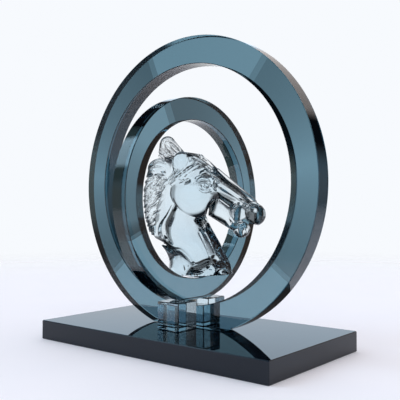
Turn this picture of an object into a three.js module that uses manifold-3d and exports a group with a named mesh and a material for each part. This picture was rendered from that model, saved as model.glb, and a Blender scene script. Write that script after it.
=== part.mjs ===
// Crystal horse head figurine: a clear horse head standing in two crossed rings of
// smoky blue glass, on two clear blocks and a black glass base.
// Millimetres, +Z up, origin at the middle of the underside of the base.
import * as THREE from 'three';
import { mergeVertices } from 'three/addons/utils/BufferGeometryUtils.js';
import Module from 'manifold-3d';

const wasm = await Module();
wasm.setup();

// Driving dimensions.
const GLUE_GAP = 0.3;
const BASE = { length: 289, depth: 157, height: 20, bevel: 0.8 };
const LARGE_RING = { outer: 151, inner: 122.5, thick: 18, bevel: 0.6 };
const SMALL_RING = { outer: 103.5, inner: 80.4, thick: 17.4, bevel: 0.6 };
const LARGE_FLAT_DEPTH = 7;
const SMALL_FLAT_DEPTH = 2;
const BLOCK = { width: 28, height: 27.3, bevel: 0.8 };
const RING_SEGMENTS = 72;
const HORSE_TURN = Math.PI / 4;
const HORSE_FOOT = 72.6;
const FIELD_STEP = 3.5;
const FIELD_BOX = { low: [-66, -32, 60], high: [86, 32, 220] };

// Heights that follow from them.
const blockFoot = BASE.height + GLUE_GAP;
const largeCentre = blockFoot + LARGE_RING.outer - LARGE_FLAT_DEPTH;
const smallFoot = blockFoot + BLOCK.height + GLUE_GAP;
const smallCentre = smallFoot + SMALL_RING.outer - SMALL_FLAT_DEPTH;

// Finishes.
const finish = (color, roughness) => new THREE.MeshStandardMaterial({ color, roughness, metalness: 0 });
const BLACK_GLASS = finish(0x15191e, 0.05);
const SMOKY_GLASS = finish(0x6a91a6, 0.03);
const CLEAR_GLASS = finish(0xe9f1f7, 0.03);

// Closed geometry to solid and back.
function solidFrom(geometry) {
  const bare = geometry.index ? geometry.clone() : geometry;
  bare.deleteAttribute('normal');
  bare.deleteAttribute('uv');
  const merged = mergeVertices(bare, 1e-4);
  const vertProperties = new Float32Array(merged.attributes.position.array);
  const triVerts = new Uint32Array(merged.index.array);
  return new wasm.Manifold(new wasm.Mesh({ numProp: 3, vertProperties, triVerts }));
}

function geometryFrom(solid) {
  const { vertProperties, triVerts } = solid.getMesh();
  const geometry = new THREE.BufferGeometry();
  geometry.setAttribute('position', new THREE.BufferAttribute(vertProperties, 3));
  geometry.setIndex(new THREE.BufferAttribute(triVerts, 1));
  return geometry;
}

function boxBetween(low, high) {
  const size = high.map((value, axis) => value - low[axis]);
  const middle = high.map((value, axis) => (value + low[axis]) / 2);
  return new THREE.BoxGeometry(...size).translate(...middle);
}

// A rectangular block with a flat bevel along every edge, standing on z = 0.
function bevelledBlock(length, depth, height, bevel) {
  const x = length / 2 - bevel;
  const y = depth / 2 - bevel;
  const outline = new THREE.Shape();
  outline.moveTo(-x, -y).lineTo(x, -y).lineTo(x, y).lineTo(-x, y).closePath();
  const bevels = { bevelEnabled: true, bevelSegments: 1, bevelSize: bevel, bevelThickness: bevel };
  const geometry = new THREE.ExtrudeGeometry(outline, { depth: height - 2 * bevel, steps: 1, ...bevels });
  return geometry.translate(0, 0, bevel);
}

// A flat ring about the Y axis with bevelled edges, its middle at the origin.
function flatRing({ outer, inner, thick, bevel }) {
  const half = thick / 2;
  const corners = [
    [inner + bevel, -half],
    [outer - bevel, -half],
    [outer, bevel - half],
    [outer, half - bevel],
    [outer - bevel, half],
    [inner + bevel, half],
    [inner, half - bevel],
    [inner, bevel - half],
    [inner + bevel, -half],
  ];
  return new THREE.LatheGeometry(corners.map(([r, y]) => new THREE.Vector2(r, y)), RING_SEGMENTS);
}

// The ring is lifted to its height and ground flat below so that it can stand.
function standingRing(ring, centre, foot, turn) {
  const geometry = flatRing(ring).rotateZ(turn).translate(0, 0, centre);
  const ground = boxBetween([-200, -200, -200], [200, 200, foot]);
  return geometryFrom(solidFrom(geometry).subtract(solidFrom(ground)));
}

// Blended distance field. Distances are negative inside; a wider blend melts two forms together.
const blend = (a, b, width) => {
  const near = Math.max(width - Math.abs(a - b), 0);
  return Math.min(a, b) - (near * near) / (4 * width);
};
const carve = (body, tool, width) => -blend(-body, tool, width);
const mix = (a, b, t) => a + (b - a) * t;
const clamp01 = (t) => Math.min(Math.max(t, 0), 1);

// Form of an egg.
const egg = (centre, radii) => (p) => {
  const q = p.map((value, axis) => (value - centre[axis]) / radii[axis]);
  const near = Math.hypot(...q);
  const slope = Math.hypot(...q.map((value, axis) => value / radii[axis]));
  return slope > 0 ? (near * (near - 1)) / slope : -Math.min(...radii);
};

// Form of a bar with round ends whose radius runs evenly from one end to the other.
const bar = (from, fromRadius, to, toRadius) => {
  const along = to.map((value, axis) => value - from[axis]);
  const length2 = along.reduce((sum, value) => sum + value * value, 0);
  return (p) => {
    const away = p.map((value, axis) => value - from[axis]);
    const t = clamp01(along.reduce((sum, value, axis) => sum + value * away[axis], 0) / length2);
    return Math.hypot(...away.map((value, axis) => value - along[axis] * t)) - mix(fromRadius, toRadius, t);
  };
};

// Form of all that lies in front of a plane through a point.
const flat = (at, facing) => (p) => {
  const ahead = p.map((value, axis) => (value - at[axis]) * facing[axis]);
  return -ahead.reduce((sum, value) => sum + value, 0);
};

// Forms are raised out of the body or sunk into it, each with its blending width.
const raised = (form, width) => (p, body) => blend(body, form(p), width);
const sunk = (form, width) => (p, body) => carve(body, form(p), width);

// A groove pressed along a smooth line of the side view, thinning out to both ends.
const pressed = (depth, reach, points) => {
  const line = new THREE.SplineCurve(points.map(([x, z]) => new THREE.Vector2(x, z)));
  const steps = 3 * points.length;
  const middle = line.getPoints(steps).map((point) => point.toArray());
  const half = middle.map((_, i) => reach * Math.sqrt(Math.sin((Math.PI * i) / steps)) || 0);
  const runs = middle.slice(1).map((point, i) => bar(middle[i], half[i], point, half[i + 1]));
  return ([x, , z], body) => {
    const away = Math.min(...runs.map((run) => run([x, z])));
    return body + depth * clamp01(-away / reach) ** 2;
  };
};
const shapeWith = (p, body, forms) => forms.reduce((shape, form) => form(p, shape), body);

// A smooth curve through the first column of a table and one of the others.
const tableCurve = (table, column) => {
  const heights = table.map((row) => row[0]);
  const values = table.map((row) => row[column]);
  const spline = new THREE.CubicInterpolant(heights, values, 1, new Float64Array(1));
  return (z) => spline.evaluate(Math.min(Math.max(z, heights[0]), heights.at(-1)))[0];
};

// The neck is a stack of ovals: height, rear edge, front edge, half width.
const NECK = [
  [66, -18, 41.8, 21],
  [75, -20, 41.3, 20.5],
  [84, -24, 39, 19.5],
  [95, -26.5, 33.5, 19],
  [104, -33, 29, 18.5],
  [113, -40, 24, 17],
  [125, -42, 17.5, 15],
  [140, -43, 12, 13],
  [155, -42, 8, 11.5],
  [180, -36, -2, 10],
  [196, -20, -8, 5],
];
const [neckRear, neckFront, neckWidth] = [1, 2, 3].map((column) => tableCurve(NECK, column));
const THROAT = flat([6.7, 16.8, 113.3], [0.57, 0.77, 0.29]);
const CHEST = egg([14, 9, 71], [21, 13.2, 11]);
const SHOULDER = egg([-11, 7, 80], [13, 12.2, 17]);
const NECK_FORMS = [
  sunk(THROAT, 1.2),
  raised(CHEST, 2),
  raised(SHOULDER, 1),
  pressed(5, 6, [[-16.5, 149], [-21.4, 132.8], [-26.8, 120.9], [-25.6, 111], [-20, 103]]),
  pressed(4.2, 5.5, [[-43, 110], [-30, 104.5], [-20.3, 98.2], [-12.7, 97.1], [-4, 88.4], [-3, 70]]),
  pressed(3, 5, [[0, 129], [9.5, 125.1], [12.5, 116]]),
];

function neck(p) {
  const [x, y, z] = p;
  const rear = neckRear(z);
  const depth = (neckFront(z) - rear) / 2;
  const width = neckWidth(z);
  const oval = Math.hypot((x - rear) / depth - 1, y / width);
  const wall = (oval - 1) * Math.min(depth, width) * 0.9;
  return shapeWith(p, Math.max(wall, z - NECK.at(-1)[0], NECK[0][0] - z), NECK_FORMS);
}

// The head tapers from the brow down to the muzzle and is narrower than it is deep.
// Its raised, sunk and pressed forms are given on one side and mirrored.
const BROW = { at: [6, 0, 163], radius: 29.5, narrow: 0.52 };
const MUZZLE = { at: [63.5, 0, 135.5], radius: 12.9, narrow: 0.84 };
const HEAD_BAR = bar(BROW.at, BROW.radius, MUZZLE.at, MUZZLE.radius);
const POLL = egg([-9, 0, 178], [18, 12, 17]);
const NOSE_SIDE = flat([32, 9.5, 167.3], [0.51, 0.66, 0.5475]);
const JAW = bar([24, 0, 141], 11, [47, 0, 123], 8);
const CHEEK = egg([0, 8, 153], [22.8, 11.5, 23.6]);
const CHIN = egg([51.5, 0, 118.6], [8.8, 8.6, 9.2]);
const LIP = egg([48.5, 7, 133.5], [6.5, 5.5, 8.5]);
const NOSE_END = egg([65, 4.5, 133.5], [11, 8.5, 11.5]);
const NOSTRIL_WING = egg([61, 8, 141.5], [8, 4.5, 6]);
const BROW_RIDGE = bar([2, 13.6, 168.5], 2.6, [22, 12.6, 168], 3);
const EYE_HOLLOW = egg([11.7, 19, 162.6], [7.5, 4.6, 5.4]);
const EYE_BALL = egg([11.7, 13.4, 162.6], [4.7, 4.7, 4.7]);
const NOSTRIL = egg([62.5, 12.6, 139.5], [4.6, 4.6, 3.8]);
const FACE_FORMS = [
  raised(POLL, 8),
  sunk(NOSE_SIDE, 1),
  raised(JAW, 2),
  raised(CHEEK, 1),
  raised(CHIN, 1.2),
  raised(LIP, 1.2),
  raised(NOSE_END, 2),
  raised(NOSTRIL_WING, 2),
  raised(BROW_RIDGE, 2.5),
  sunk(EYE_HOLLOW, 1.2),
  raised(EYE_BALL, 0.5),
  sunk(NOSTRIL, 1),
  pressed(3.8, 5.5, [[14, 154], [28, 154.2], [35.7, 148.6], [45, 146.5]]),
  pressed(3.4, 5, [[23, 149.5], [18, 141.6], [15.2, 133]]),
  pressed(2.8, 4.5, [[49, 146], [41.2, 142], [39.8, 133], [44, 124]]),
  pressed(2.4, 4.5, [[42, 127], [53, 127.6], [61, 124], [69, 121]]),
];

function face(p) {
  const [x, y, z] = p;
  const t = clamp01((x - BROW.at[0]) / (MUZZLE.at[0] - BROW.at[0]));
  const narrow = mix(BROW.narrow, MUZZLE.narrow, t);
  return shapeWith(p, HEAD_BAR([x, y / narrow, z]) * narrow, FACE_FORMS);
}

// An ear is a broad leaf of two flattened bars over a round root, with a hollow on the outside.
const EAR = { side: 11.5, flat: 0.5 };
const EAR_FRONT = bar([-12, 0, 191], 6.2, [-24, 0, 206.2], 5.4);
const EAR_REAR = bar([-27, 0, 186], 7.4, [-27, 0, 205.6], 6.2);
const EAR_HOLLOW = bar([-18, 18, 196], 4.6, [-26, 17, 205.5], 3.8);
const EAR_ROOT = egg([-12.4, 11, 187], [8.2, 6.5, 8.6]);

function ear(p) {
  const leaf = [p[0], (p[1] - EAR.side) / EAR.flat, p[2]];
  const blade = blend(EAR_FRONT(leaf), EAR_REAR(leaf), 4) * EAR.flat;
  return blend(carve(blade, EAR_HOLLOW(p), 1), EAR_ROOT(p), 0.6);
}

// The mane is a thick roll along the crest of the neck with a smooth tuft at the top.
const CREST = [
  { at: [-26, 0, 186], radius: 6 },
  { at: [-37, 0, 177], radius: 8.5 },
  { at: [-41, 0, 160], radius: 9 },
  { at: [-41.5, 0, 145], radius: 8.8 },
  { at: [-40.5, 0, 131], radius: 8.2 },
  { at: [-38.5, 0, 119], radius: 6.5 },
];
const ROLL = CREST.slice(1).map((to, i) => bar(CREST[i].at, CREST[i].radius, to.at, to.radius));
const TUFT = egg([-31.5, 3, 180.5], [14, 9.5, 10.5]);

function mane(p) {
  return blend(Math.min(...ROLL.map((run) => run(p))), TUFT(p), 1);
}

// Locks are combed into all that lies behind the inner edge of the mane: height, edge.
const MANE_EDGE = [
  [106, -38],
  [120, -37],
  [133, -34],
  [146, -30],
  [162, -25],
  [172, -23],
];
const maneEdge = tableCurve(MANE_EDGE, 1);
const LOCK = { pitch: 8.8, depth: 2.6, fall: (40 * Math.PI) / 180, low: 108, high: 173, rise: 4 };

function combed([x, , z], body) {
  const across = (x * Math.sin(LOCK.fall) - z * Math.cos(LOCK.fall)) / LOCK.pitch;
  const saw = 2 * Math.abs(across - Math.floor(across) - 0.5);
  const behind = clamp01((maneEdge(z) - x) / LOCK.rise);
  const ends = clamp01((z - LOCK.low) / LOCK.rise) * clamp01((LOCK.high - z) / LOCK.rise);
  return body + LOCK.depth * behind * ends * saw * saw;
}

// The forelock lies over the brow in strands, and two longer locks run back under the ear.
const strand = (points) => {
  const runs = points.slice(1).map((point, i) => bar(...points[i], ...point));
  return runs.map((run) => raised(run, 0.6));
};
const FORELOCK_FORMS = [
  strand([[[-1, 12, 187], 3.2], [[-13, 13, 177], 3.2], [[-30, 8, 163], 1.2]]),
  strand([[[4, 12.5, 182.5], 2.6], [[-9, 14, 173.5], 2.8], [[-27, 9, 160], 1]]),
  strand([[[-7, 0, 193.5], 4.4], [[8, 1, 192], 3.8], [[22, 0, 180.5], 2.2]]),
  strand([[[-6, 5, 192.5], 4], [[6, 6.5, 190], 3.6], [[19, 5, 181], 2]]),
  strand([[[-3, 9.5, 189], 3.2], [[9, 10.5, 184.5], 2.4], [[17, 9, 178.5], 1.6]]),
].flat();

function horse(x, y, z) {
  const p = [x, Math.abs(y), z];
  const crested = combed(p, blend(neck(p), mane(p), 2));
  const faced = shapeWith(p, blend(crested, face(p), 1), FORELOCK_FORMS);
  return blend(faced, ear(p), 1.6);
}

// Surface of the field: one vertex in each grid cell that the surface crosses, moved onto
// the surface, and one face across each grid edge with one end inside and one outside.
function fieldSurface(field, { low, high }, step) {
  const count = high.map((value, axis) => Math.ceil((value - low[axis]) / step) + 1);
  const stride = [1, count[0], count[0] * count[1]];
  const total = count[0] * count[1] * count[2];
  const cellOf = (home) => {
    const layer = home % stride[2];
    return [layer % stride[1], Math.floor(layer / stride[1]), Math.floor(home / stride[2])];
  };
  const place = (cell, shift) => cell.map((steps, axis) => low[axis] + (steps + shift) * step);
  const isInside = (_, home) => Number(field(...place(cellOf(home), 0)) < 0);
  const inside = Uint8Array.from({ length: total }, isInside);
  fillPinches(inside, stride);

  const positions = [];
  const vertexOf = new Map();
  const cellVertex = (home) => {
    if (!vertexOf.has(home)) {
      vertexOf.set(home, positions.length / 3);
      positions.push(...settle(field, place(cellOf(home), 0.5), step));
    }
    return vertexOf.get(home);
  };
  const index = [];
  for (let home = 0; home < total - stride[2]; home += 1) {
    for (let axis = 0; axis < 3; axis += 1) {
      if (inside[home] !== inside[home + stride[axis]]) {
        const u = stride[(axis + 1) % 3];
        const v = stride[(axis + 2) % 3];
        const around = [home - u - v, home - v, home, home - u].map(cellVertex);
        const [a, b, c, d] = inside[home] ? around : around.reverse();
        index.push(a, b, c, a, c, d);
      }
    }
  }
  const geometry = new THREE.BufferGeometry();
  geometry.setAttribute('position', new THREE.Float32BufferAttribute(positions, 3));
  geometry.setIndex(index);
  return geometry;
}

// Fills grid points where two parts of the body would touch only along an edge or at a corner.
function fillPinches(inside, stride) {
  const [x, y, z] = stride;
  const squares = [[x, y], [y, z], [z, x]];
  const diagonals = [[0, x + y + z], [x, y + z], [y, x + z], [z, x + y]];
  for (let filled = true; filled; ) {
    filled = false;
    for (let home = 0; home < inside.length - x - y - z; home += 1) {
      for (const [u, v] of squares) {
        const [a, b, c, d] = [home, home + u, home + v, home + u + v];
        if (inside[a] === inside[d] && inside[b] === inside[c] && inside[a] !== inside[b]) {
          inside[inside[a] ? b : a] = 1;
          filled = true;
        }
      }
      const corners = [0, x, y, x + y, z, x + z, y + z, x + y + z].map((step) => inside[home + step]);
      const held = corners.reduce((sum, corner) => sum + corner, 0);
      for (const [near, far] of held === 2 || held === 6 ? diagonals : []) {
        const pair = inside[home + near] + inside[home + far];
        if (pair === (held === 2 ? 2 : 0)) {
          inside[held === 2 ? home + (near === x ? 0 : x) : home + near] = 1;
          filled = true;
        }
      }
    }
  }
}

// Slides a point along the slope of the field onto the surface, within its own cell.
function settle(field, start, step) {
  const reach = step * 0.45;
  const nudge = step * 0.1;
  let point = start;
  for (let round = 0; round < 4; round += 1) {
    const value = field(...point);
    const slope = [0, 1, 2].map((axis) => {
      const shifted = [...point];
      shifted[axis] += nudge;
      return (field(...shifted) - value) / nudge;
    });
    const steep = slope.reduce((sum, part) => sum + part * part, 1e-9);
    const moved = point.map((part, axis) => part - (value * slope[axis]) / steep);
    point = moved.map((part, axis) => Math.min(Math.max(part, start[axis] - reach), start[axis] + reach));
  }
  return point;
}

// The head stands on a flat foot, cut away where the small ring's wall passes under it.
function horseHead() {
  const carving = solidFrom(fieldSurface(horse, FIELD_BOX, FIELD_STEP));
  const below = boxBetween([-200, -200, -200], [200, 200, HORSE_FOOT]);
  const seat = flatRing({
    outer: SMALL_RING.outer,
    inner: SMALL_RING.inner - GLUE_GAP,
    thick: SMALL_RING.thick + 2 * GLUE_GAP,
    bevel: GLUE_GAP,
  });
  seat.rotateZ(Math.PI / 2 - HORSE_TURN).translate(0, 0, smallCentre);
  return geometryFrom(carving.subtract(solidFrom(below)).subtract(solidFrom(seat)));
}

// The figurine.
const figurine = new THREE.Group();

function place(name, geometry, material, position = [0, 0, 0]) {
  const mesh = new THREE.Mesh(geometry, material);
  mesh.name = name;
  mesh.position.set(...position);
  figurine.add(mesh);
  return mesh;
}

const blockReach = LARGE_RING.thick / 2 + GLUE_GAP + BLOCK.width / 2;
const block = bevelledBlock(BLOCK.width, BLOCK.width, BLOCK.height, BLOCK.bevel);

place('base', bevelledBlock(BASE.length, BASE.depth, BASE.height, BASE.bevel), BLACK_GLASS);
place('front_block', block, CLEAR_GLASS, [0, -blockReach, blockFoot]);
place('back_block', block.clone(), CLEAR_GLASS, [0, blockReach, blockFoot]);
place('large_ring', standingRing(LARGE_RING, largeCentre, blockFoot, 0), SMOKY_GLASS);
place('small_ring', standingRing(SMALL_RING, smallCentre, smallFoot, Math.PI / 2), SMOKY_GLASS);
place('horse_head', horseHead(), CLEAR_GLASS).rotation.z = HORSE_TURN;

export default figurine;
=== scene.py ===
# %% [markdown]
# # A crystal horse head in two crossed rings
# A clear cast horse head stands inside a ring of smoky blue glass. That ring stands on two
# clear blocks and passes through a larger ring, and a black glass slab carries them all.
# The solid model is loaded first and stays as it is. Every cell after it dresses one piece.

# %% Load the solid model and note its box
import math

import bpy
import numpy as np
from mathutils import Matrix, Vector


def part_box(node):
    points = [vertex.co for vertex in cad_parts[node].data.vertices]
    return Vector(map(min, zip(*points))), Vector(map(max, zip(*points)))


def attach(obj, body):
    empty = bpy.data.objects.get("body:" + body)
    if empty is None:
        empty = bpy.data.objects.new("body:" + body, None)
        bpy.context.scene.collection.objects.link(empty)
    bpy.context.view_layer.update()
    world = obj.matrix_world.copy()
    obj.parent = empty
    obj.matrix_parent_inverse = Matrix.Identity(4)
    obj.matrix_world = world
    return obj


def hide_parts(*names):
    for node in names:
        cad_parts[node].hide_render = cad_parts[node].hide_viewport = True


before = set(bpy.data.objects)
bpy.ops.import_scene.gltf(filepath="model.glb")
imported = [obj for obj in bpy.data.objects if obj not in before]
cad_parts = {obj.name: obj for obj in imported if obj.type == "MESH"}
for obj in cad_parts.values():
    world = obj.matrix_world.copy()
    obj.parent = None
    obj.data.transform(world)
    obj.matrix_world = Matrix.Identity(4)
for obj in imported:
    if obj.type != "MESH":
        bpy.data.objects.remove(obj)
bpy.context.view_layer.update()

# %% [markdown]
# ## The camera
# The photograph was taken nearly level, from the front right, at about two base lengths.
# A lens of about 57 mm on a 36 mm sensor gives the same narrowing of the base to the back.

# %% Camera
CAMERA_PLACE = (0.4162, -0.4960, 0.1391)
CAMERA_YAW = math.radians(39.28)
CAMERA_TILT = math.radians(90.83)
SENSOR_WIDTH, LENS = 36.0, 56.63
camera_data = bpy.data.cameras.new("photo_camera")
camera_data.sensor_width = SENSOR_WIDTH
camera_data.lens = LENS
camera = bpy.data.objects.new("photo_camera", camera_data)
camera.location = CAMERA_PLACE
camera.rotation_euler = (CAMERA_TILT, 0.0, CAMERA_YAW)
bpy.context.scene.collection.objects.link(camera)
bpy.context.scene.camera = camera
print("camera at", CAMERA_PLACE, "lens", LENS)

# %% [markdown]
# ## Helpers for surfaces
# A piece is a grid of points. One helper turns such a grid into a mesh, closed around and
# along where asked, and one puts the mesh in the scene as a piece of the object.

# %% Mesh helpers
MM = 0.001


def grid_faces(rows, columns, close_rows, close_columns):
    """Corner numbers of the four-sided faces of a grid, wrapped round where it closes."""
    i = np.arange(rows if close_rows else rows - 1)
    j = np.arange(columns if close_columns else columns - 1)
    i, j = np.meshgrid(i, j, indexing="ij")
    i_next = (i + 1) % rows
    j_next = (j + 1) % columns
    here, after = i * columns, i_next * columns
    corners = [here + j, here + j_next, after + j_next, after + j]
    return np.stack(corners, axis=-1).reshape(-1, 4)


def make_piece(name, points, faces, material, slot, node, crease, **face_values):
    """Makes a mesh from points in millimetres, with sharp edges over the crease angle and with
    named values that belong to its faces."""
    mesh = bpy.data.meshes.new(name)
    mesh.from_pydata((np.asarray(points) * MM).tolist(), [], [list(face) for face in faces])
    mesh.polygons.foreach_set("use_smooth", np.ones(len(mesh.polygons), dtype=bool))
    mesh.update()
    mesh.set_sharp_from_angle(angle=math.radians(crease))
    for value_name, values in face_values.items():
        held = mesh.attributes.new(value_name, "FLOAT", "FACE")
        held.data.foreach_set("value", np.asarray(values, dtype=float))
    mesh.materials.append(material)
    piece = bpy.data.objects.new(name, mesh)
    bpy.context.scene.collection.objects.link(piece)
    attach(piece, "root")
    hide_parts(node)
    print(name, "has", len(mesh.polygons), "faces")
    return piece


print("one millimetre is", MM, "m")

# %% [markdown]
# ## Marks of polishing
# Glass that is ground, polished and wiped by hand isn't perfect: the surface ripples a little,
# fine wiping streaks and a faint haze make the gloss uneven, a few dust grains lie on it, and the
# narrow ground bevels stay duller than the faces. All three kinds of glass share these marks.

# %% Node helpers


def link_or_set(tree, socket, source):
    """Feeds a socket from another socket, or sets its plain value."""
    if isinstance(source, bpy.types.NodeSocket):
        tree.links.new(source, socket)
    else:
        socket.default_value = source


def math_node(tree, operation, *sources):
    """The result of a math node that is fed by sockets or plain values in order."""
    node = tree.nodes.new("ShaderNodeMath")
    node.operation = operation
    for socket, source in zip(node.inputs, sources):
        link_or_set(tree, socket, source)
    return node.outputs["Value"]


def ramp_node(tree, source, low, high, low_value, high_value):
    """Carries a value from one range to another on a soft step."""
    node = tree.nodes.new("ShaderNodeMapRange")
    node.interpolation_type = "SMOOTHSTEP"
    for socket, value in zip(node.inputs, (source, low, high, low_value, high_value)):
        link_or_set(tree, socket, value)
    return node.outputs["Result"]


def mix_node(tree, share, first, second):
    """Mixes two colours by a share."""
    node = tree.nodes.new("ShaderNodeMix")
    node.data_type = "RGBA"
    link_or_set(tree, node.inputs["Factor"], share)
    link_or_set(tree, node.inputs["A"], first)
    link_or_set(tree, node.inputs["B"], second)
    return node.outputs["Result"]


def noise_node(tree, place, scale, detail):
    """Soft noise with a number of waves to the metre."""
    node = tree.nodes.new("ShaderNodeTexNoise")
    tree.links.new(place, node.inputs["Vector"])
    node.inputs["Scale"].default_value = scale
    node.inputs["Detail"].default_value = detail
    return node.outputs["Fac"]


print("node helpers: links, math, ramps, mixes and noise")

# %% Node group of the marks
RIPPLES_PER_METRE, HAZE_PER_METRE, STREAKS_PER_METRE, DUST_PER_METRE = 22.0, 140.0, 840.0, 420.0
STREAK_STRETCH = (1.0, 1.0, 0.06)
STREAK_SHARE, DUST_DULLNESS = 0.5, 0.4
marks = bpy.data.node_groups.new("polish_marks", "ShaderNodeTree")
for socket_name in ("Haze", "Dust"):
    marks.interface.new_socket(socket_name, in_out="INPUT", socket_type="NodeSocketFloat")
for socket_name in ("Roughness", "Dust Mask", "Ripple"):
    marks.interface.new_socket(socket_name, in_out="OUTPUT", socket_type="NodeSocketFloat")
given = marks.nodes.new("NodeGroupInput")
result = marks.nodes.new("NodeGroupOutput")
place = marks.nodes.new("ShaderNodeTexCoord").outputs["Object"]
stretch = marks.nodes.new("ShaderNodeMapping")
stretch.inputs["Scale"].default_value = STREAK_STRETCH
marks.links.new(place, stretch.inputs["Vector"])
haze = ramp_node(marks, noise_node(marks, place, HAZE_PER_METRE, 4.0), 0.35, 0.75, 0.2, 1.0)
wiped = noise_node(marks, stretch.outputs["Vector"], STREAKS_PER_METRE, 2.0)
streaks = ramp_node(marks, wiped, 0.55, 0.7, 0.0, 1.0)
grains = marks.nodes.new("ShaderNodeTexVoronoi")
grains.inputs["Scale"].default_value = DUST_PER_METRE
marks.links.new(place, grains.inputs["Vector"])
clumps = ramp_node(marks, noise_node(marks, place, RIPPLES_PER_METRE, 2.0), 0.45, 0.7, 0.0, 1.0)
spots = ramp_node(marks, grains.outputs["Distance"], 0.05, 0.12, 1.0, 0.0)
grain = math_node(marks, "MULTIPLY", spots, clumps)
dust = math_node(marks, "MULTIPLY", grain, given.outputs["Dust"])
uneven = math_node(marks, "MULTIPLY_ADD", streaks, STREAK_SHARE, haze)
rough = math_node(marks, "MULTIPLY", uneven, given.outputs["Haze"])
dusty_rough = math_node(marks, "MULTIPLY_ADD", dust, DUST_DULLNESS, rough)
link_or_set(marks, result.inputs["Roughness"], dusty_rough)
link_or_set(marks, result.inputs["Dust Mask"], dust)
link_or_set(marks, result.inputs["Ripple"], noise_node(marks, place, RIPPLES_PER_METRE, 1.0))
print("marks group has", len(marks.nodes), "nodes")

# %% [markdown]
# ## Glass
# Polished lead crystal bends light by an index of about 1.5. The head and the blocks have
# hardly any colour, and the ring glass is tinted all through, so the tint comes from absorption
# inside the glass: a longer way through it is darker. A face can also carry a painted shade value
# that darkens the light through it, for dark parts of the room mirrored in the glass. The base is
# so dark that no light passes, so it is a blue-black body under a polished surface.

# %% Glass helpers
GLASS_INDEX = 1.52
GROUND_EDGE_ROUGHNESS = 0.16
# Colours of the painted shade on the faces: no shade leaves the glass white, full shade paints it
# black.
NO_PAINTED_SHADE, FULL_PAINTED_SHADE = (1.0, 1.0, 1.0, 1.0), (0.0, 0.0, 0.0, 1.0)
GLASS_DUST, GLASS_DUSTINESS = (0.8, 0.8, 0.78, 1.0), 0.6


def new_material(name):
    """An empty node material with its surface shader and its output."""
    material = bpy.data.materials.new(name)
    material.use_nodes = True
    shader = material.node_tree.nodes["Principled BSDF"]
    output = material.node_tree.nodes["Material Output"]
    return material, shader, output


def face_value(tree, name):
    """The value of that name on the faces of a piece, or nought where a piece has none."""
    node = tree.nodes.new("ShaderNodeAttribute")
    node.attribute_name = name
    return node.outputs["Fac"]


def add_marks(material, shader, colour, dusty, haze, dust, ripple):
    """Marks of polishing on colour, roughness and bump, and duller ground edges."""
    tree = material.node_tree
    worn = tree.nodes.new("ShaderNodeGroup")
    worn.node_tree = marks
    worn.inputs["Haze"].default_value = haze
    worn.inputs["Dust"].default_value = dust
    speckled = mix_node(tree, worn.outputs["Dust Mask"], colour, dusty)
    link_or_set(tree, shader.inputs["Base Color"], speckled)
    ground, rough = face_value(tree, "ground_edge"), worn.outputs["Roughness"]
    dull = math_node(tree, "MULTIPLY_ADD", ground, GROUND_EDGE_ROUGHNESS, rough)
    link_or_set(tree, shader.inputs["Roughness"], dull)
    bump = tree.nodes.new("ShaderNodeBump")
    bump.inputs["Strength"].default_value = 1.0
    bump.inputs["Distance"].default_value = ripple
    tree.links.new(worn.outputs["Ripple"], bump.inputs["Height"])
    tree.links.new(bump.outputs["Normal"], shader.inputs["Normal"])


def glass(name, passed, density, haze, ripple):
    """Clear glass that takes up light at a rate of (1 - passed) times density to the metre."""
    material, shader, output = new_material(name)
    tree = material.node_tree
    shader.inputs["IOR"].default_value = GLASS_INDEX
    shader.inputs["Transmission Weight"].default_value = 1.0
    inside = tree.nodes.new("ShaderNodeVolumeAbsorption")
    inside.inputs["Color"].default_value = (*passed, 1.0)
    inside.inputs["Density"].default_value = density
    tree.links.new(inside.outputs["Volume"], output.inputs["Volume"])
    # Painted shade: the value on the faces darkens the colour towards black, for the dark room
    # mirrored in the glass.
    smoked = mix_node(tree, face_value(tree, "smoke"), NO_PAINTED_SHADE, FULL_PAINTED_SHADE)
    add_marks(material, shader, smoked, GLASS_DUST, haze, GLASS_DUSTINESS, ripple)
    return material


print("ground edges are rougher by", GROUND_EDGE_ROUGHNESS)

# %% Three kinds of glass
BLACK_BODY, BLACK_DUST = (0.003, 0.007, 0.014, 1.0), (0.05, 0.05, 0.05, 1.0)
BLACK_GLOSS = 0.32
smoky_glass = glass("smoky_glass", (0.0, 0.32, 0.44), density=94.0, haze=0.012, ripple=0.00012)
clear_crystal = glass("clear_crystal", (0.0, 0.42, 0.62), density=12.5, haze=0.010, ripple=0.00015)
black_glass, black_shader, _ = new_material("black_glass")
black_shader.inputs["IOR"].default_value = GLASS_INDEX
black_shader.inputs["Specular IOR Level"].default_value = BLACK_GLOSS
add_marks(black_glass, black_shader, BLACK_BODY, BLACK_DUST, haze=0.02, dust=0.8, ripple=0.00005)
print("glass:", smoky_glass.name, clear_crystal.name, black_glass.name)

# %% [markdown]
# ## Slab and blocks
# A ground and polished block has flat faces and a narrow flat bevel along every edge. Its
# outline is carried up a short profile: in by the bevel at the foot, out at the wall, in again
# at the top.

# %% Slab and blocks
POLISHED_CREASE = 20


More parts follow.
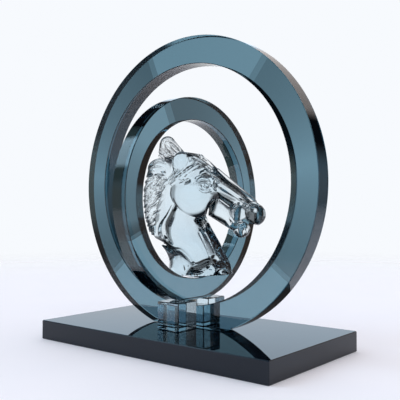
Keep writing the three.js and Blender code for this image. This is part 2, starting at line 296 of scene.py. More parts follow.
def bevelled_block(low, high, bevel):
    """Four inset outlines, each an octagon that cuts the corners by the bevel, stacked from low
    to high."""
    middle = (np.array(low) + np.array(high)) / 2
    half = (np.array(high) - np.array(low)) / 2
    inset = np.array([bevel, 0.0, 0.0, bevel])[:, None]
    height = np.array([low[2], low[2] + bevel, high[2] - bevel, high[2]])[:, None]
    side_x = np.array([1, 1, 1, -1, -1, -1, -1, 1])
    side_y = np.array([-1, 1, 1, 1, 1, -1, -1, -1])
    cut_x = np.array([0, 0, 1, 1, 0, 0, 1, 1]) * bevel
    cut_y = np.array([1, 1, 0, 0, 1, 1, 0, 0]) * bevel
    x = middle[0] + side_x * (half[0] - inset - cut_x)
    y = middle[1] + side_y * (half[1] - inset - cut_y)
    z = height + np.zeros_like(x)
    points = np.stack([x, y, z], axis=-1).reshape(-1, 3)
    rows, corners = x.shape
    faces = grid_faces(rows, corners, False, True).tolist()
    caps = [list(range(corners))[::-1], list(range(len(points) - corners, len(points)))]
    wall = np.tile([0.0, 1.0], corners // 2)
    ground = np.concatenate([np.ones(corners), wall, np.ones(corners), np.zeros(len(caps))])
    return points, faces + caps, ground


def node_box(node):
    """The node's two corners in millimetres."""
    low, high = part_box(node)
    return np.array(low) / MM, np.array(high) / MM


BLOCK_SHAPES = [
    ("black_slab", "base", black_glass, "black_glass", 0.7),
    ("clear_block_front", "front_block", clear_crystal, "clear_crystal", 0.8),
    ("clear_block_back", "back_block", clear_crystal, "clear_crystal", 0.8),
]
for name, node, material, slot, bevel in BLOCK_SHAPES:
    points, faces, ground = bevelled_block(*node_box(node), bevel)
    make_piece(name, points, faces, material, slot, node, POLISHED_CREASE, ground_edge=ground)

# %% [markdown]
# ## Rings
# Each ring is cut from plate glass, polished on its faces and rims, and ground flat below so
# that it can stand. Its narrow bevels stay duller. A profile with eight corners is carried round
# a circle, and the outer radius is shortened where the flat cuts it.
#
# Polished plate mirrors the dark parts of a room as broad soft shades. Real ones would need the
# whole room as a model, so each ring carries a few painted shades as a value on its faces instead.

# %% Ring shape
RING_STEPS, FOOT_STEPS, PROFILE_CORNERS = 288, 9, 8
RING_BEVEL = 0.6


def ring_points(outer, inner, thick, bevel, flat):
    """Profile corners (radius, side) at each angle from the foot; the outer radius is at most
    flat / cos(angle)."""
    edge = math.acos(flat / outer)
    foot = np.linspace(-edge, edge, FOOT_STEPS)
    arc = np.linspace(edge, 2 * math.pi - edge, RING_STEPS)
    angle = np.concatenate([foot, arc[1:-1]])
    reach = np.where(np.abs(angle) < edge + 1e-9, flat / np.cos(angle), outer)
    half = thick / 2
    low = np.full_like(angle, inner)
    radius = [low + bevel, reach - bevel, reach, reach, reach - bevel, low + bevel, low, low]
    side = [-half, -half, bevel - half, half - bevel, half, half, half - bevel, bevel - half]
    radius = np.stack(radius, axis=1)
    side = np.broadcast_to(np.array(side), radius.shape)
    return angle[:, None], radius, side


def standing_ring(node, inner, axis):
    """The ring that fills its node's box: radius times (sin, -cos) of the angle in its plane, side
    along its axis."""
    low, high = node_box(node)
    across = 1 - axis
    outer = (high[across] - low[across]) / 2
    centre = high[2] - outer
    thick, foot = high[axis] - low[axis], centre - low[2]
    angle, radius, side = ring_points(outer, inner, thick, RING_BEVEL, foot)
    points = np.zeros(radius.shape + (3,))
    points[..., across] = radius * np.sin(angle)
    points[..., axis] = side
    points[..., 2] = centre - radius * np.cos(angle)
    faces = grid_faces(*radius.shape, True, True)
    return points.reshape(-1, 3), faces[:, ::-1] if axis == 0 else faces, np.degrees(angle)


print("ring profile:", PROFILE_CORNERS, "corners,", RING_STEPS, "steps")

# %% Painted shades of the rings, and rings
LARGE_INNER, SMALL_INNER = 122.5, 80.4
# Painted shades of each ring, dark parts of the room mirrored in its faces: (edge angle from the
# foot, run, depth).
LARGE_SHADES = [(142, -45, 0.42), (52, 42, 0.42), (-158, 65, 0.55), (-50, -48, 0.52)]
SMALL_SHADES = [(205, -100, 0.55), (-76, -50, 0.40), (-68, -14, 0.75)]
RING_SHAPES = [
    ("smoky_ring_large", "large_ring", LARGE_INNER, 1, LARGE_SHADES),
    ("smoky_ring_small", "small_ring", SMALL_INNER, 0, SMALL_SHADES),
]


def smoke(angle, shades):
    """Painted shade at an angle from the foot, for the dark room mirrored in the ring: a shade
    starts sharply at its edge and fades by one minus the square of the share of its run; a minus
    run goes back from the edge."""
    dark = []
    for edge, run, depth in shades:
        part = (angle - edge) * np.sign(run) % 360.0 / abs(run)
        dark.append(depth * np.clip(1.0 - part * part, 0.0, 1.0))
    return np.maximum.reduce(dark)


for name, node, inner, axis, shades in RING_SHAPES:
    points, faces, angle = standing_ring(node, inner, axis)
    values = {
        "ground_edge": np.tile([0.0, 1.0], len(faces) // 2),
        # Painted shade for the dark room mirrored in the ring, one value per face.
        "smoke": np.repeat(smoke(angle, shades), PROFILE_CORNERS),
    }
    make_piece(name, points, faces, smoky_glass, "smoky_glass", node, POLISHED_CREASE, **values)

# %% [markdown]
# ## The horse head
# The head is cast and fire polished, so its forms run softly into each other and every crease
# is rounded. A grid of two parameters can't hold ears, jaw, lips and locks in one skin, and
# skins that only cross would show as walls inside clear glass. So the head is a distance
# field: each form is a bar, an egg or a flat cut with named sizes, forms are melted together
# over a blending width, and hollows are sunk in the same way. Creases are drawn as lines on the
# side view and pressed into whatever lies there. The skin is where the field is zero.

# %% Distance fields of bars, eggs and flat cuts


def melt(a, b, width):
    """The smaller of two distances, lowered by (width - difference) squared / 4 width where they
    are close."""
    near = np.maximum(width - np.abs(a - b), 0.0)
    return np.minimum(a, b) - near * near / (4.0 * width)


def sink(body, tool, width):
    """Takes the tool out of the body, with the rim rounded over the blending width."""
    return -melt(-body, tool, width)


def bar(p, start, start_radius, end, end_radius):
    """Distance to a straight line from start to end, less a radius that runs evenly along it."""
    along = [b - a for a, b in zip(start, end)]
    away = [axis - a for axis, a in zip(p, start)]
    share = sum(d * a for d, a in zip(away, along)) / sum(a * a for a in along)
    share = np.clip(share, 0.0, 1.0)
    off = [d - a * share for d, a in zip(away, along)]
    return np.sqrt(sum(d * d for d in off)) - (start_radius + (end_radius - start_radius) * share)


def egg(p, centre, radii):
    """Near the skin, the distance to an ellipsoid: k (k - 1) / m, with k and m the lengths of q
    and q / radii."""
    q = [(axis - c) / r for axis, c, r in zip(p, centre, radii)]
    k = np.sqrt(sum(d * d for d in q))
    m = np.sqrt(sum((d / r) ** 2 for d, r in zip(q, radii)))
    return k * (k - 1.0) / np.maximum(m, 1e-6)


def flat(p, point, facing):
    """Distance to all that lies in front of a plane through the point that faces the given way."""
    return -sum((axis - a) * f for axis, a, f in zip(p, point, facing))


TOOLS = {"bar": bar, "egg": egg, "flat": flat}
print("forms:", sorted(TOOLS))

# %% Melted forms and pressed lines


def shape_with(p, body, forms):
    """Melts each raised form into the body, or sinks it, in the order of the list."""
    for kind, way, sizes, width in forms:
        tool = TOOLS[kind](p, *sizes)
        body = melt(body, tool, width) if way == "raise" else sink(body, tool, width)
    return body


def smooth_table(z, heights, values):
    """A curve through the table: cubic between rows, with each slope taken from the rows on
    either side."""
    heights = np.array(heights, dtype=float)
    values = np.array(values, dtype=float)
    slopes = np.gradient(values, heights)
    row = np.clip(np.searchsorted(heights, z) - 1, 0, len(heights) - 2)
    gap = heights[row + 1] - heights[row]
    t = np.clip((z - heights[row]) / gap, 0.0, 1.0)
    rise = values[row + 1] - values[row]
    start = slopes[row] * gap
    end = slopes[row + 1] * gap
    bend = 3 * rise - 2 * start - end + t * (start + end - 2 * rise)
    return values[row] + t * (start + t * bend)


def line_share(p, reach, line):
    """A soft step, from nought to one, of how far a point of the side view lies inside the reach
    of a smooth line; the reach thins out to both ends."""
    x, _, z = p
    steps = np.arange(len(line))
    share = np.linspace(0.0, len(line) - 1.0, 3 * len(line) + 1)
    middle = np.stack([smooth_table(share, steps, values) for values in zip(*line)], axis=-1)
    half = reach * np.sqrt(np.sin(np.linspace(0.0, math.pi, len(share))))
    ends = zip(middle[:-1], half[:-1], middle[1:], half[1:])
    away = np.minimum.reduce([bar((x, z), *sizes) for sizes in ends])
    inside = np.clip(-away / reach, 0.0, 1.0)
    return inside * inside * (3.0 - 2.0 * inside)


def press_lines(p, body, lines):
    """Lowers the body by depth times the share of each line; a minus depth raises it."""
    for depth, reach, line in lines:
        body = body + depth * line_share(p, reach, line)
    return body


half_way = float(line_share((0.5, 0.0, 0.0), 1.0, [(0, 0), (1, 0)]))
print("share on the middle of a line:", round(half_way, 2))

# %% [markdown]
# ### Neck
# The neck is a stack of ovals from the flat foot up to the poll, set by the rear edge, the front
# edge and the half width at each height. A flat cut on each side makes the wedge of the throat.
# Creases part the muscles behind the cheek, along the windpipe, above the shoulder and at the
# foot. A crease is a depth, a reach and a line, all in millimetres.

# %% Neck
NECK_HEIGHTS = [66, 75, 84, 95, 104, 113, 125, 140, 155, 180, 190]
NECK_REAR = [-18, -20, -24, -26.5, -33, -40, -42, -43, -42, -36, -26]
NECK_FRONT = [41.8, 41.3, 39, 33.5, 29, 24, 17.5, 12, 8, -2, -6]
NECK_WIDTH = [21, 20.5, 19.5, 19, 18.5, 17, 15, 13, 11.5, 10, 7]
NECK_FORMS = [
    ("flat", "sink", ((6.7, 16.8, 113.3), (0.57, 0.77, 0.29)), 1.2),
    ("egg", "raise", ((14, 9, 71), (21, 13.2, 11)), 2.0),
    ("egg", "raise", ((-11, 7, 80), (13, 12.2, 17)), 1.0),
]
NECK_LINES = [
    (4.6, 5.0, [(-16.5, 149), (-21.4, 132.8), (-26.8, 120.9), (-25.6, 111), (-20, 103)]),
    (3.2, 4.6, [(-43, 110), (-30, 104.5), (-20.3, 98.2), (-12.7, 97.1), (-4, 88.4), (-1.8, 82),
                (-3, 70)]),
    (0.9, 1.5, [(5, 117), (6.7, 113.3), (12.2, 101.4), (20, 81)]),
    (0.5, 1.2, [(-13, 95), (-9, 76)]),
    (3.0, 3.6, [(0, 129), (9.5, 125.1), (12.5, 116)]),
    (4.2, 5.0, [(-10, 73), (-1.9, 78.7), (6.8, 79.8), (16.6, 84), (24, 77)]),
    (2.0, 2.4, [(-30, 99), (-25.5, 88), (-23, 76)]),
]
NECK_SLOPE = 0.9
print("neck:", len(NECK_HEIGHTS), "ovals,", len(NECK_LINES), "creases")


def neck_field(p):
    """Ovals stacked in height, cut flat above and below; the slope keeps the field close to a
    distance where an oval narrows."""
    x, y, z = p
    rear = smooth_table(z, NECK_HEIGHTS, NECK_REAR)
    front = smooth_table(z, NECK_HEIGHTS, NECK_FRONT)
    width = smooth_table(z, NECK_HEIGHTS, NECK_WIDTH)
    depth = (front - rear) / 2
    oval = np.sqrt(((x - rear) / depth - 1.0) ** 2 + (y / width) ** 2)
    wall = (oval - 1.0) * np.minimum(depth, width) * NECK_SLOPE
    wall = np.maximum(wall, np.maximum(z - NECK_HEIGHTS[-1], NECK_HEIGHTS[0] - z))
    return press_lines(p, shape_with(p, wall, NECK_FORMS), NECK_LINES)


# %% [markdown]
# ### Skull and face
# The skull narrows from the brow to the muzzle and is flatter than it is deep. A flat cut on each
# side of the nose leaves a narrow ridge along it, and one below the cheek bone makes its edge.
# The cheek is a round disc on each side. Brow, eye, nostril, lips and chin follow as raised and
# sunk forms on one side, and the other side is their mirror image.

# %% Face
BROW = ((6, 0, 163), 29.5, 0.52)
MUZZLE = ((63.5, 0, 135.5), 12.9, 0.84)
FACE_FORMS = [
    ("egg", "raise", ((-9, 0, 178), (18, 12.0, 17)), 8.0),
    ("flat", "sink", ((32, 7.4, 167.3), (0.51, 0.66, 0.5475)), 1.0),
    ("flat", "sink", ((30, 10.6, 153), (-0.135, 0.866, -0.48)), 1.0),
    ("bar", "raise", ((26.6, 0, 179.0), 2.3, (64.8, 0, 147.0), 2.6), 0.8),
    ("bar", "raise", ((24, 0, 141), 11.0, (47, 0, 123), 8.0), 2.0),
    ("egg", "raise", ((0, 7.5, 153), (23.2, 10.8, 23.8)), 7.0),
    ("egg", "raise", ((51.5, 0, 118.6), (8.8, 8.6, 9.2)), 1.2),
    ("egg", "raise", ((48.5, 7.0, 133.5), (6.5, 5.5, 8.5)), 1.2),
    ("egg", "raise", ((65, 4.5, 133.5), (11.0, 8.5, 11.5)), 2.0),
    ("egg", "raise", ((61, 8.0, 141.5), (8.0, 4.5, 6.0)), 2.0),
    ("bar", "raise", ((2, 13.6, 168.5), 2.6, (22, 12.6, 168), 3.0), 2.5),
    ("egg", "sink", ((13.3, 15.5, 173.2), (5.5, 4.6, 2.8)), 1.2),
    ("egg", "sink", ((11.7, 19.0, 162.6), (7.5, 4.6, 5.4)), 1.2),
    ("egg", "raise", ((11.7, 13.4, 162.6), (4.7, 4.7, 4.7)), 0.5),
    ("egg", "sink", ((22.3, 15.0, 164.5), (2.3, 4.2, 4.2)), 0.8),
    ("egg", "sink", ((62.5, 12.6, 139.5), (4.6, 4.6, 3.8)), 1.0),
]
FACE_LINES = [
    (2.0, 2.2, [(-23.4, 162), (-21.7, 150.1), (-17.4, 141.3), (-10.6, 134.6), (0.3, 129.2),
                (12, 129)]),
    (-1.2, 2.2, [(1.3, 165), (7, 168.4), (13.3, 168), (18.5, 164.5)]),
    (-1.0, 2.0, [(5, 159.5), (11, 157.2), (18, 160)]),
    (2.4, 2.6, [(-10, 165), (-5.3, 168.5), (-4.5, 164)]),
    (1.2, 1.8, [(20, 176), (29.7, 166.4), (40.9, 159.3), (51, 152), (59, 145)]),
    (1.5, 1.6, [(-1.5, 162.5), (5.6, 165.6), (13.3, 165.8), (17, 161.5)]),
    (4.2, 5.0, [(23, 149.5), (18, 141.6), (15.2, 133)]),
    (2.8, 3.0, [(49, 146), (41.2, 142), (39.8, 133), (44, 124)]),
    (2.4, 3.0, [(42, 127), (53, 127.6), (61, 124), (69, 121)]),
    (2.2, 3.0, [(54, 148), (57, 142), (55, 135), (58, 128)]),
    (0.8, 2.0, [(46, 121), (53, 119.5), (56, 113)]),
]
print("face:", len(FACE_FORMS), "forms,", len(FACE_LINES), "lines")


def face_field(p):
    """A tapering bar, flattened sideways by a share that runs from the brow to the muzzle, with
    its forms."""
    x, y, z = p
    share = np.clip((x - BROW[0][0]) / (MUZZLE[0][0] - BROW[0][0]), 0.0, 1.0)
    narrow = BROW[2] + (MUZZLE[2] - BROW[2]) * share
    skull = bar((x, y / narrow, z), BROW[0], BROW[1], MUZZLE[0], MUZZLE[1]) * narrow
    return press_lines(p, shape_with(p, skull, FACE_FORMS), FACE_LINES)


# %% [markdown]
# ### Ears, forelock and mane
# The ears lie back from round roots as broad leaves with hair lines in them. Strands of forelock
# lie over the brow with parting lines between them, and long locks run back under the ear. Along
# the crest of the neck the mane lies in a thick roll with a smooth tuft at the top, and strands
# with sharp parting lines are combed into it.

# %% Ears and forelock
EAR_FLAT = 0.5
EAR_SIDE = 11.5
EAR_ROOT = ((-12.4, 11.0, 187), (8.2, 6.5, 8.6))
EAR_FRONT = ((-12, 0, 191), 6.2, (-24, 0, 206.2), 5.4)
EAR_REAR = ((-27.5, 0, 195.5), 6.8, (-27, 0, 205.6), 6.2)
EAR_HOLLOW = ((-18, 18.0, 196), 4.6, (-26, 17.0, 205.5), 3.8)
EAR_LINES = [
    (1.0, 1.8, [(-36, 199), (-28, 191), (-19, 187.5)]),
    (1.9, 1.8, [(-30, 206), (-25.9, 198), (-21, 195)]),
    (1.7, 1.7, [(-23.5, 204), (-20.4, 199.2), (-16.5, 196.5)]),
    (1.7, 1.7, [(-32, 201), (-28.5, 197), (-25.5, 193.5)]),
    (1.5, 1.6, [(-27, 209), (-21.5, 206), (-15, 200), (-11, 194)]),
]
FORELOCK_FORMS = [
    ("bar", "raise", ((-1, 12.0, 187), 3.2, (-13, 13.0, 177), 3.2), 0.6),
    ("bar", "raise", ((-13, 13.0, 177), 3.2, (-30, 8.0, 163), 1.2), 0.6),
    ("bar", "raise", ((4, 12.5, 182.5), 2.6, (-9, 14.0, 173.5), 2.8), 0.6),
    ("bar", "raise", ((-9, 14.0, 173.5), 2.8, (-27, 9.0, 160), 1.0), 0.6),
    ("bar", "raise", ((-7, 0, 193.5), 4.4, (8, 1, 192), 3.8), 0.6),
    ("bar", "raise", ((8, 1, 192), 3.8, (22, 0, 180.5), 2.2), 0.6),
    ("bar", "raise", ((-6, 5, 192.5), 4.0, (6, 6.5, 190), 3.6), 0.6),
    ("bar", "raise", ((6, 6.5, 190), 3.6, (19, 5, 181), 2.0), 0.6),
    ("bar", "raise", ((-3, 9.5, 189), 3.2, (9, 10.5, 184.5), 2.4), 0.6),
    ("bar", "raise", ((9, 10.5, 184.5), 2.4, (17, 9, 178.5), 1.6), 0.6),
]
FORELOCK_LINES = [
    (1.8, 2.0, [(1, 194), (12, 189), (23, 180)]),
    (1.6, 1.8, [(-3, 189), (8, 185), (18, 178)]),
    (1.4, 1.6, [(-8, 183), (-16, 176), (-27, 166)]),
]
LEAF_BLEND, HOLLOW_BLEND, ROOT_BLEND = 4.0, 1.0, 0.6
print("ears:", len(EAR_LINES), "lines; forelock:", len(FORELOCK_FORMS), "strands")


def ear_field(p):
    """Two flattened bars melted into a leaf, with a hollow on the outer side and a round root."""
    x, y, z = p
    flattened = (x, (y - EAR_SIDE) / EAR_FLAT, z)
    blade = melt(bar(flattened, *EAR_FRONT), bar(flattened, *EAR_REAR), LEAF_BLEND) * EAR_FLAT
    blade = sink(blade, bar(p, *EAR_HOLLOW), HOLLOW_BLEND)
    return melt(press_lines(p, blade, EAR_LINES), egg(p, *EAR_ROOT), ROOT_BLEND)


# %% Mane
CREST = [(-26, 186), (-37, 177), (-41, 160), (-41.5, 145), (-40.5, 131), (-38.5, 119)]
CREST_RADII = [6.0, 8.5, 9.0, 8.8, 8.2, 6.5]
CREST_TUFT = ((-31.5, 3, 180.5), (14.0, 9.5, 10.5))
TUFT_LINES = [
    (2.4, 2.8, [(-49, 171), (-36, 172.5), (-25.4, 171.2), (-19, 180), (-21.5, 190)]),
    (1.4, 2.2, [(-45, 178), (-36, 181), (-26, 178)]),
    (1.2, 2.0, [(-42, 185), (-33, 187), (-25, 184)]),
]
MANE_EDGE_HEIGHTS = [106, 120, 133, 146, 162, 172]
MANE_EDGE = [-38, -37, -34, -30, -25, -23]
MANE_FRONT_RUN = 5.0
MANE_TOP, MANE_TOP_RUN = 173.0, 3.0
MANE_END, MANE_END_RUN = 108.0, 4.0
STRAND_WAVES = [(4.6, 1.3, 40, 1.2), (2.7, 0.8, 50, 1.5)]
WAVER_X, WAVER_Z, WAVER_SWELL = 0.31, 0.13, 0.17
TUFT_BLEND = 1.0
print("mane:", len(CREST), "points along the crest,", len(STRAND_WAVES), "waves of strands")


def mane_field(p):
    """A thick roll along the crest, melted with a smooth tuft at its top end."""
    roll = [(point[0], 0, point[1]) for point in CREST]
    ends = zip(roll[:-1], CREST_RADII[:-1], roll[1:], CREST_RADII[1:])
    body = np.minimum.reduce([bar(p, *sizes) for sizes in ends])
    return press_lines(p, melt(body, egg(p, *CREST_TUFT), TUFT_BLEND), TUFT_LINES)


def comb(p, body):
    """Lowers the body behind the mane's edge by the squares of two wavering saw waves that run
    across the strands, one for the locks and one for the hair in them."""
    x, _, z = p
    edge = smooth_table(z, MANE_EDGE_HEIGHTS, MANE_EDGE)
    share = np.clip((edge - x) / MANE_FRONT_RUN, 0.0, 1.0)
    share = share * np.clip((MANE_TOP - z) / MANE_TOP_RUN, 0.0, 1.0)
    share = share * np.clip((z - MANE_END) / MANE_END_RUN, 0.0, 1.0)
    for pitch, depth, fall, waver in STRAND_WAVES:
        across = x * math.sin(math.radians(fall)) - z * math.cos(math.radians(fall))
        sway = np.sin(WAVER_X * x + WAVER_Z * z)
        across = across + waver * sway * np.sin(WAVER_SWELL * z)
        saw = 2.0 * np.abs((across / pitch) % 1.0 - 0.5)
        body = body + depth * share * saw * saw
    return body


# %% [markdown]
# ### Skin of the head
# The foot is ground flat, and ground hollow where it sits on the small ring. The field is read
# on a fine grid. Every grid cell that the skin passes through gets one point, every grid line
# that leaves the body gets a face, and the points then slide along the slope of the field until
# they lie on the skin. Places where two corners of the body would only touch, and hollows that
# nothing leads into, are filled first, so the net is one closed skin.

# %% Solid of the head
HORSE_TURN = math.radians(45)
HORSE_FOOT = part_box("horse_head")[0][2] / MM
SEAT_GAP = 0.3
seat_low, seat_high = node_box("small_ring")
SEAT_HALF = (seat_high[0] - seat_low[0]) / 2 + SEAT_GAP
SEAT_RADIUS = SMALL_INNER - SEAT_GAP
SEAT_CENTRE = seat_high[2] - (seat_high[1] - seat_low[1]) / 2
MANE_BLEND, FACE_BLEND, EAR_BLEND = 2.0, 1.0, 1.6
print("foot at", round(HORSE_FOOT, 2), "mm, seat radius", round(SEAT_RADIUS, 2), "mm")


def head_field(p):
    """Neck, mane, face, forelock and ears, melted in that order; p is mirrored to one side."""
    p = (p[0], np.abs(p[1]), p[2])
    body = comb(p, melt(neck_field(p), mane_field(p), MANE_BLEND))
    body = melt(body, face_field(p), FACE_BLEND)
    body = press_lines(p, shape_with(p, body, FORELOCK_FORMS), FORELOCK_LINES)
    return melt(body, ear_field(p), EAR_BLEND)


def ground_field(p):
    """What is ground away: all below the foot, and the ring's band outside its inner radius."""
    x, y, z = p
    aside = (x - y) * math.sqrt(0.5)
    along = (x + y) * math.sqrt(0.5)
    band = np.maximum(np.abs(aside) - SEAT_HALF, SEAT_RADIUS - np.hypot(along, z - SEAT_CENTRE))
    return np.minimum(np.where(z < SEAT_CENTRE, band, SEAT_HALF), z - HORSE_FOOT)


# %% Filled grid
PINCH_ROUNDS = 12


def fill_pinches(inside):
    """Fills squares of the grid where only opposite corners lie inside."""
    for _ in range(PINCH_ROUNDS):
        before = int(inside.sum())
        for axis in range(3):
            flat_view = np.moveaxis(inside, axis, 0)
            a, b = flat_view[:, :-1, :-1], flat_view[:, 1:, 1:]
            c, d = flat_view[:, :-1, 1:], flat_view[:, 1:, :-1]
            crossed = (a & b & ~c & ~d) | (c & d & ~a & ~b)
            for corner in (a, b, c, d):
                corner |= crossed
        if int(inside.sum()) == before:
            break
    return inside


def fill_voids(inside):
    """Fills all that is empty but out of reach from the edge of the grid: emptiness is handed on
    from layer to layer, both ways along each axis, until nothing more is reached."""
    empty = ~inside
    reached = np.zeros_like(inside)
    reached[0] = empty[0]
    count = -1
    while count != int(reached.sum()):
        count = int(reached.sum())
        for axis in range(3):
            for way in (1, -1):
                layers = np.moveaxis(reached, axis, 0)[::way]
                gaps = np.moveaxis(empty, axis, 0)[::way]
                for here, last, gap in zip(layers[1:], layers[:-1], gaps[1:]):
                    here |= last & gap
    return ~reached


print("pinches are filled in", PINCH_ROUNDS, "rounds at most")

# %% Points on the skin
SLIDES, NUDGE_SHARE, SLIDE_SHARE, LEAST_SLOPE = 4, 0.1, 0.6, 0.05


def solid_field(p):
    """The head less what is ground away."""
    return np.maximum(head_field(p), -ground_field(p))


def settle(points, step):
    """Slides points along the slope by field times slope / slope squared, and never farther from
    where they started than a share of a cell."""
    home = points.copy()
    nudge, farthest = NUDGE_SHARE * step, SLIDE_SHARE * step
    for _ in range(SLIDES):
        value = solid_field(points.T)
        nudged = points[None] + nudge * np.eye(3)[:, None]
        slope = np.stack([solid_field(q.T) - value for q in nudged], axis=-1) / nudge
        steep = np.maximum((slope * slope).sum(axis=1, keepdims=True), LEAST_SLOPE)
        points = np.clip(points - value[:, None] * slope / steep, home - farthest, home + farthest)
    return points


print("points slide", SLIDES, "times")

# %% Net of the skin
GRID_STEP = 0.8
GRID_LOW, GRID_HIGH = (-66.0, 0.0, 68.0), (86.0, 30.0, 220.0)
FLAT_FOOT = 0.3


def field_skin(low, high, step):
    """Points and corner numbers of the net; the head is read on one side and mirrored, then
    ground."""
    x, y, z = (np.arange(a, b, step) for a, b in zip(low, high))
    y = y + step / 2
    one_side = head_field(np.meshgrid(x, y, z, indexing="ij", sparse=True)) < 0
    inside = np.concatenate([one_side[:, ::-1], one_side], axis=1)
    both = np.concatenate([-y[::-1], y])
    inside &= ground_field(np.meshgrid(x, both, z, indexing="ij", sparse=True)) > 0
    inside = fill_voids(fill_pinches(inside))
    corner = np.array([x[0], both[0], z[0]])
    stride = np.array([inside.shape[1] * inside.shape[2], inside.shape[2], 1])
    quads = []
    for axis in range(3):
        here = np.moveaxis(inside, axis, 0)
        cells = np.argwhere(here[:-1] != here[1:])
        leaves = here[tuple(cells.T)]
        cells = cells[:, np.argsort([axis, *[k for k in range(3) if k != axis]])]
        u, v = stride[(axis + 1) % 3], stride[(axis + 2) % 3]
        base = cells @ stride
        ring = np.stack([base - u - v, base - v, base, base - u], axis=-1)
        quads.append(np.where(leaves[:, None], ring, ring[:, ::-1]))
    used, faces = np.unique(np.concatenate(quads), return_inverse=True)
    place = np.stack(np.unravel_index(used, inside.shape), axis=-1)
    return settle(corner + (place + 0.5) * step, step), faces.reshape(-1, 4)


points, faces = field_skin(GRID_LOW, GRID_HIGH, GRID_STEP)
middle = points[faces].mean(axis=1).T
points[:, 2] = np.where(points[:, 2] < HORSE_FOOT + FLAT_FOOT, HORSE_FOOT, points[:, 2])
print("skin:", len(points), "points,", len(faces), "faces")

# %% [markdown]
# ### Dark bands on the head
# A clear casting looks bold because its curved sides gather dark parts of the room into bands:
# along the nose, on the jaw, the muzzle, the throat and the foot. Dark screens in the light make
# some of them. The others are painted shade, drawn as lines on the side turned to the camera, each
# with a depth and a reach, and dim the light through the faces there, as the painted shades on the
# rings do.

# %% Dark bands and the head
HEAD_CREASE = 50
BAND_EDGE = 2.5
# Painted shades: (depth, reach, line) in the side view, for dark parts of the room gathered by the
# curved sides.
HEAD_SHADES = [
    (0.98, 5.0, [(22.5, 174.2), (30.9, 169.3), (40.4, 162.9), (49.3, 156.7), (58.9, 148.9)]),
    (0.85, 3.4, [(15.5, 154.8), (23.8, 154.6), (33.8, 151.3), (45.5, 147.2)]),
    (0.97, 5.0, [(26.6, 147.7), (21.6, 144.9), (18.9, 137.2), (15.6, 132.8)]),
    (0.93, 2.4, [(19.7, 132.8), (28.6, 129.0), (37.5, 122.3)]),
    (0.97, 6.0, [(53.3, 132.8), (60.0, 134.0), (62.9, 127.3), (69.1, 126.7)]),
    (0.96, 4.0, [(64.5, 141.0), (69.0, 137.0), (69.5, 131.0), (66.0, 126.0)]),
    (0.93, 2.6, [(47.8, 148.9), (55.1, 147.8), (63.6, 142.8)]),
    (0.96, 5.0, [(1.1, 127.2), (7.7, 125.0), (13.3, 126.1)]),
    (0.97, 6.0, [(-8.4, 75.5), (1.4, 79.3), (12.3, 84.6), (18.8, 87.3), (23.8, 77.5)]),
    (0.97, 3.6, [(-41.7, 111.4), (-35.1, 109.2), (-26.4, 104.2), (-19.8, 96.0)]),
    (0.96, 3.4, [(-26.4, 96.1), (-23.1, 87.9), (-22.0, 79.2)]),
    (0.96, 3.2, [(-17.5, 142.6), (-21.3, 133.9), (-26.1, 123.0), (-23.9, 110.5)]),
    (0.96, 2.6, [(8.1, 174.4), (13.6, 173.3), (18.6, 172.5)]),
    (0.93, 1.8, [(-10.0, 163.3), (-5.7, 165.5), (-2.9, 169.3)]),
    (0.85, 2.4, [(20.2, 166.8), (23.0, 163.5), (21.9, 159.1)]),
    (0.90, 2.8, [(-7.9, 191.1), (-1.3, 195.0), (8.1, 191.8)]),
    (0.93, 2.8, [(3.6, 179.0), (10.3, 183.5), (17.5, 184.9)]),
]
bands = []
for depth, reach, line in HEAD_SHADES:
    bands.append(depth * np.minimum(BAND_EDGE * line_share(middle, reach, line), 1.0))
# Painted shade only on the side turned to the camera.
shade = np.maximum.reduce(bands) * (middle[1] < 0)
turned = points.copy()
turned[:, 0] = points[:, 0] * math.cos(HORSE_TURN) - points[:, 1] * math.sin(HORSE_TURN)
turned[:, 1] = points[:, 0] * math.sin(HORSE_TURN) + points[:, 1] * math.cos(HORSE_TURN)
# The faces carry the painted shade as the value that darkens the glass.
make_piece("crystal_horse_head", turned, faces, clear_crystal, "clear_crystal", "horse_head",
           HEAD_CREASE, smoke=shade)

# %% [markdown]
# ## Floor
# The floor is pale and fades into the white of the room, so that no edge shows behind the object.
# For light that has been bent by the glass it is faint, because a white floor below would wash
# the dark lines out of the crystal.

# %% Floor
FLOOR_REACH, FLOOR_CORNERS = 2.0, 64
FADE_START, FADE_END = 0.35, 1.5
BENT_SHARE = 0.1
FLOOR_PALE, FLOOR_WHITE = (0.888, 0.855, 0.905, 1.0), (0.92, 0.875, 0.915, 1.0)
FLOOR_ROUGHNESS, FLOOR_GLOSS = 0.6, 0.1
MOTTLES_PER_METRE = 9.0
turn = np.linspace(0, 2 * math.pi, FLOOR_CORNERS + 1)[:-1]
rim = FLOOR_REACH * np.stack([np.cos(turn), np.sin(turn), np.zeros_like(turn)], axis=1)
floor_mesh = bpy.data.meshes.new("pale_floor")
floor_mesh.from_pydata(rim.tolist(), [], [list(range(len(turn)))])
floor_material, floor_shader, _ = new_material("pale_floor")
floor_shader.inputs["Roughness"].default_value = FLOOR_ROUGHNESS
floor_shader.inputs["Specular IOR Level"].default_value = FLOOR_GLOSS
tree = floor_material.node_tree
place = tree.nodes.new("ShaderNodeTexCoord").outputs["Object"]
distance = tree.nodes.new("ShaderNodeVectorMath")
distance.operation = "LENGTH"
tree.links.new(place, distance.inputs[0])
fade = ramp_node(tree, distance.outputs["Value"], FADE_START, FADE_END, 1.0, 0.0)
bent = tree.nodes.new("ShaderNodeLightPath").outputs["Is Transmission Ray"]
fade = math_node(tree, "MULTIPLY", fade, ramp_node(tree, bent, 0.0, 1.0, 1.0, BENT_SHARE))
link_or_set(tree, floor_shader.inputs["Alpha"], fade)
mottle = noise_node(tree, place, MOTTLES_PER_METRE, 3.0)
floor_colour = mix_node(tree, mottle, FLOOR_PALE, FLOOR_WHITE)
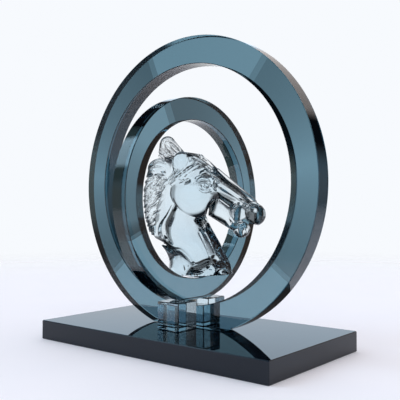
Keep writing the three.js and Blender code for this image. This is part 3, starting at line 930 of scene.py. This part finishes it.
link_or_set(tree, floor_shader.inputs["Base Color"], floor_colour)
floor_mesh.materials.append(floor_material)
floor = bpy.data.objects.new("pale_floor", floor_mesh)
bpy.context.scene.collection.objects.link(floor)
print("floor fades from", FADE_START, "to", FADE_END, "m")

# %% [markdown]
# ## Light
# Glass shows what is around it. The room is white where the camera looks, and dark screens stand
# round the rest of it, as used for glass in a studio: they draw dark lines where the glass bends
# the view far aside. A paler strip at the height of the horizon keeps the tint of the rings from
# every side. A brown wall on the right warms some edges. A blue window and a grey ceiling are
# seen only in mirrored rays, as bright stripes on the rims. The floor has soft even light.

# %% White room with dark screens
LOOK_WAY = (-math.sin(CAMERA_YAW), math.cos(CAMERA_YAW), 0.0)
SIDE_WAY = (math.cos(CAMERA_YAW), math.sin(CAMERA_YAW), 0.0)
UP_WAY = (0.0, 0.0, 1.0)
OPENINGS = [(LOOK_WAY, 0.84, 0.93, 1.0), (SIDE_WAY, 0.955, 0.985, 0.3), (UP_WAY, 0.9, 0.98, 0.1)]
world = bpy.data.worlds.new("white_room")
world.use_nodes = True
bpy.context.scene.world = world
tree = world.node_tree
room = tree.nodes["Background"]
way = tree.nodes.new("ShaderNodeTexCoord")
seen = tree.nodes.new("ShaderNodeLightPath")


def toward(axis):
    """How far the way of a ray points along an axis, from minus one to one."""
    along = tree.nodes.new("ShaderNodeVectorMath")
    along.operation = "DOT_PRODUCT"
    along.inputs[1].default_value = axis
    tree.links.new(way.outputs["Generated"], along.inputs[0])
    return along.outputs["Value"]


bright = 0.0
for axis, shut, full, share in OPENINGS:
    either = math_node(tree, "ABSOLUTE", toward(axis))
    bright = math_node(tree, "MAXIMUM", ramp_node(tree, either, shut, full, 0.0, share), bright)
print("white room open to", len(OPENINGS), "ways")

# %% Strip at the horizon and colours of the room
ROOM_WHITE, ROOM_BLUE = (0.93, 0.955, 0.99, 1.0), (0.85, 1.05, 1.25, 1.0)
WALL_BROWN, SCREEN_DARK = (0.34, 0.26, 0.21, 1.0), (0.012, 0.014, 0.018, 1.0)
STRIP_FOOT, STRIP_TOP, STRIP_SHARE = (-0.36, -0.28), (0.08, 0.14), 0.45
BLUE_EDGE, WALL_EDGE = (0.10, 0.20), (0.84, 0.97)
bent = seen.outputs["Is Transmission Ray"]
mirrored = math_node(tree, "SUBTRACT", 1.0, bent)
height = toward(UP_WAY)
risen = ramp_node(tree, height, *STRIP_FOOT, 0.0, STRIP_SHARE)
strip = math_node(tree, "MULTIPLY", risen, ramp_node(tree, height, *STRIP_TOP, 1.0, 0.0))
bright = math_node(tree, "MAXIMUM", math_node(tree, "MULTIPLY", strip, bent), bright)
blue = math_node(tree, "MULTIPLY", ramp_node(tree, height, *BLUE_EDGE, 0.0, 1.0), mirrored)
screens = mix_node(tree, bright, SCREEN_DARK, mix_node(tree, blue, ROOM_WHITE, ROOM_BLUE))
brown = ramp_node(tree, toward(SIDE_WAY), *WALL_EDGE, 0.0, 1.0)
screens = mix_node(tree, brown, screens, WALL_BROWN)
print("strip for bent rays is", STRIP_SHARE, "as bright as the room")

# %% Mirrored cards and what each ray sees
WINDOW_BLUE, CEILING_GREY = (2.1, 3.2, 4.0, 1.0), (1.0, 0.93, 0.91, 1.0)
MIRRORED_CARDS = [
    ((-0.63, -0.44, 0.64), 0.955, 0.98, WINDOW_BLUE),
    ((-0.12, 0.78, 0.62), 0.90, 0.95, CEILING_GREY),
]
FLOOR_LIGHT = (1.06, 1.085, 1.12, 1.0)
for axis, shut, full, colour in MIRRORED_CARDS:
    facing = ramp_node(tree, toward(axis), shut, full, 0.0, 1.0)
    card = math_node(tree, "MULTIPLY", facing, mirrored)
    screens = mix_node(tree, card, screens, colour)
on_floor = mix_node(tree, seen.outputs["Is Diffuse Ray"], screens, FLOOR_LIGHT)
on_view = mix_node(tree, seen.outputs["Is Camera Ray"], on_floor, ROOM_WHITE)
link_or_set(tree, room.inputs["Color"], on_view)
bpy.context.scene.view_settings.view_transform = "Standard"
print("white room has", len(MIRRORED_CARDS), "mirrored cards and", len(tree.nodes), "nodes")
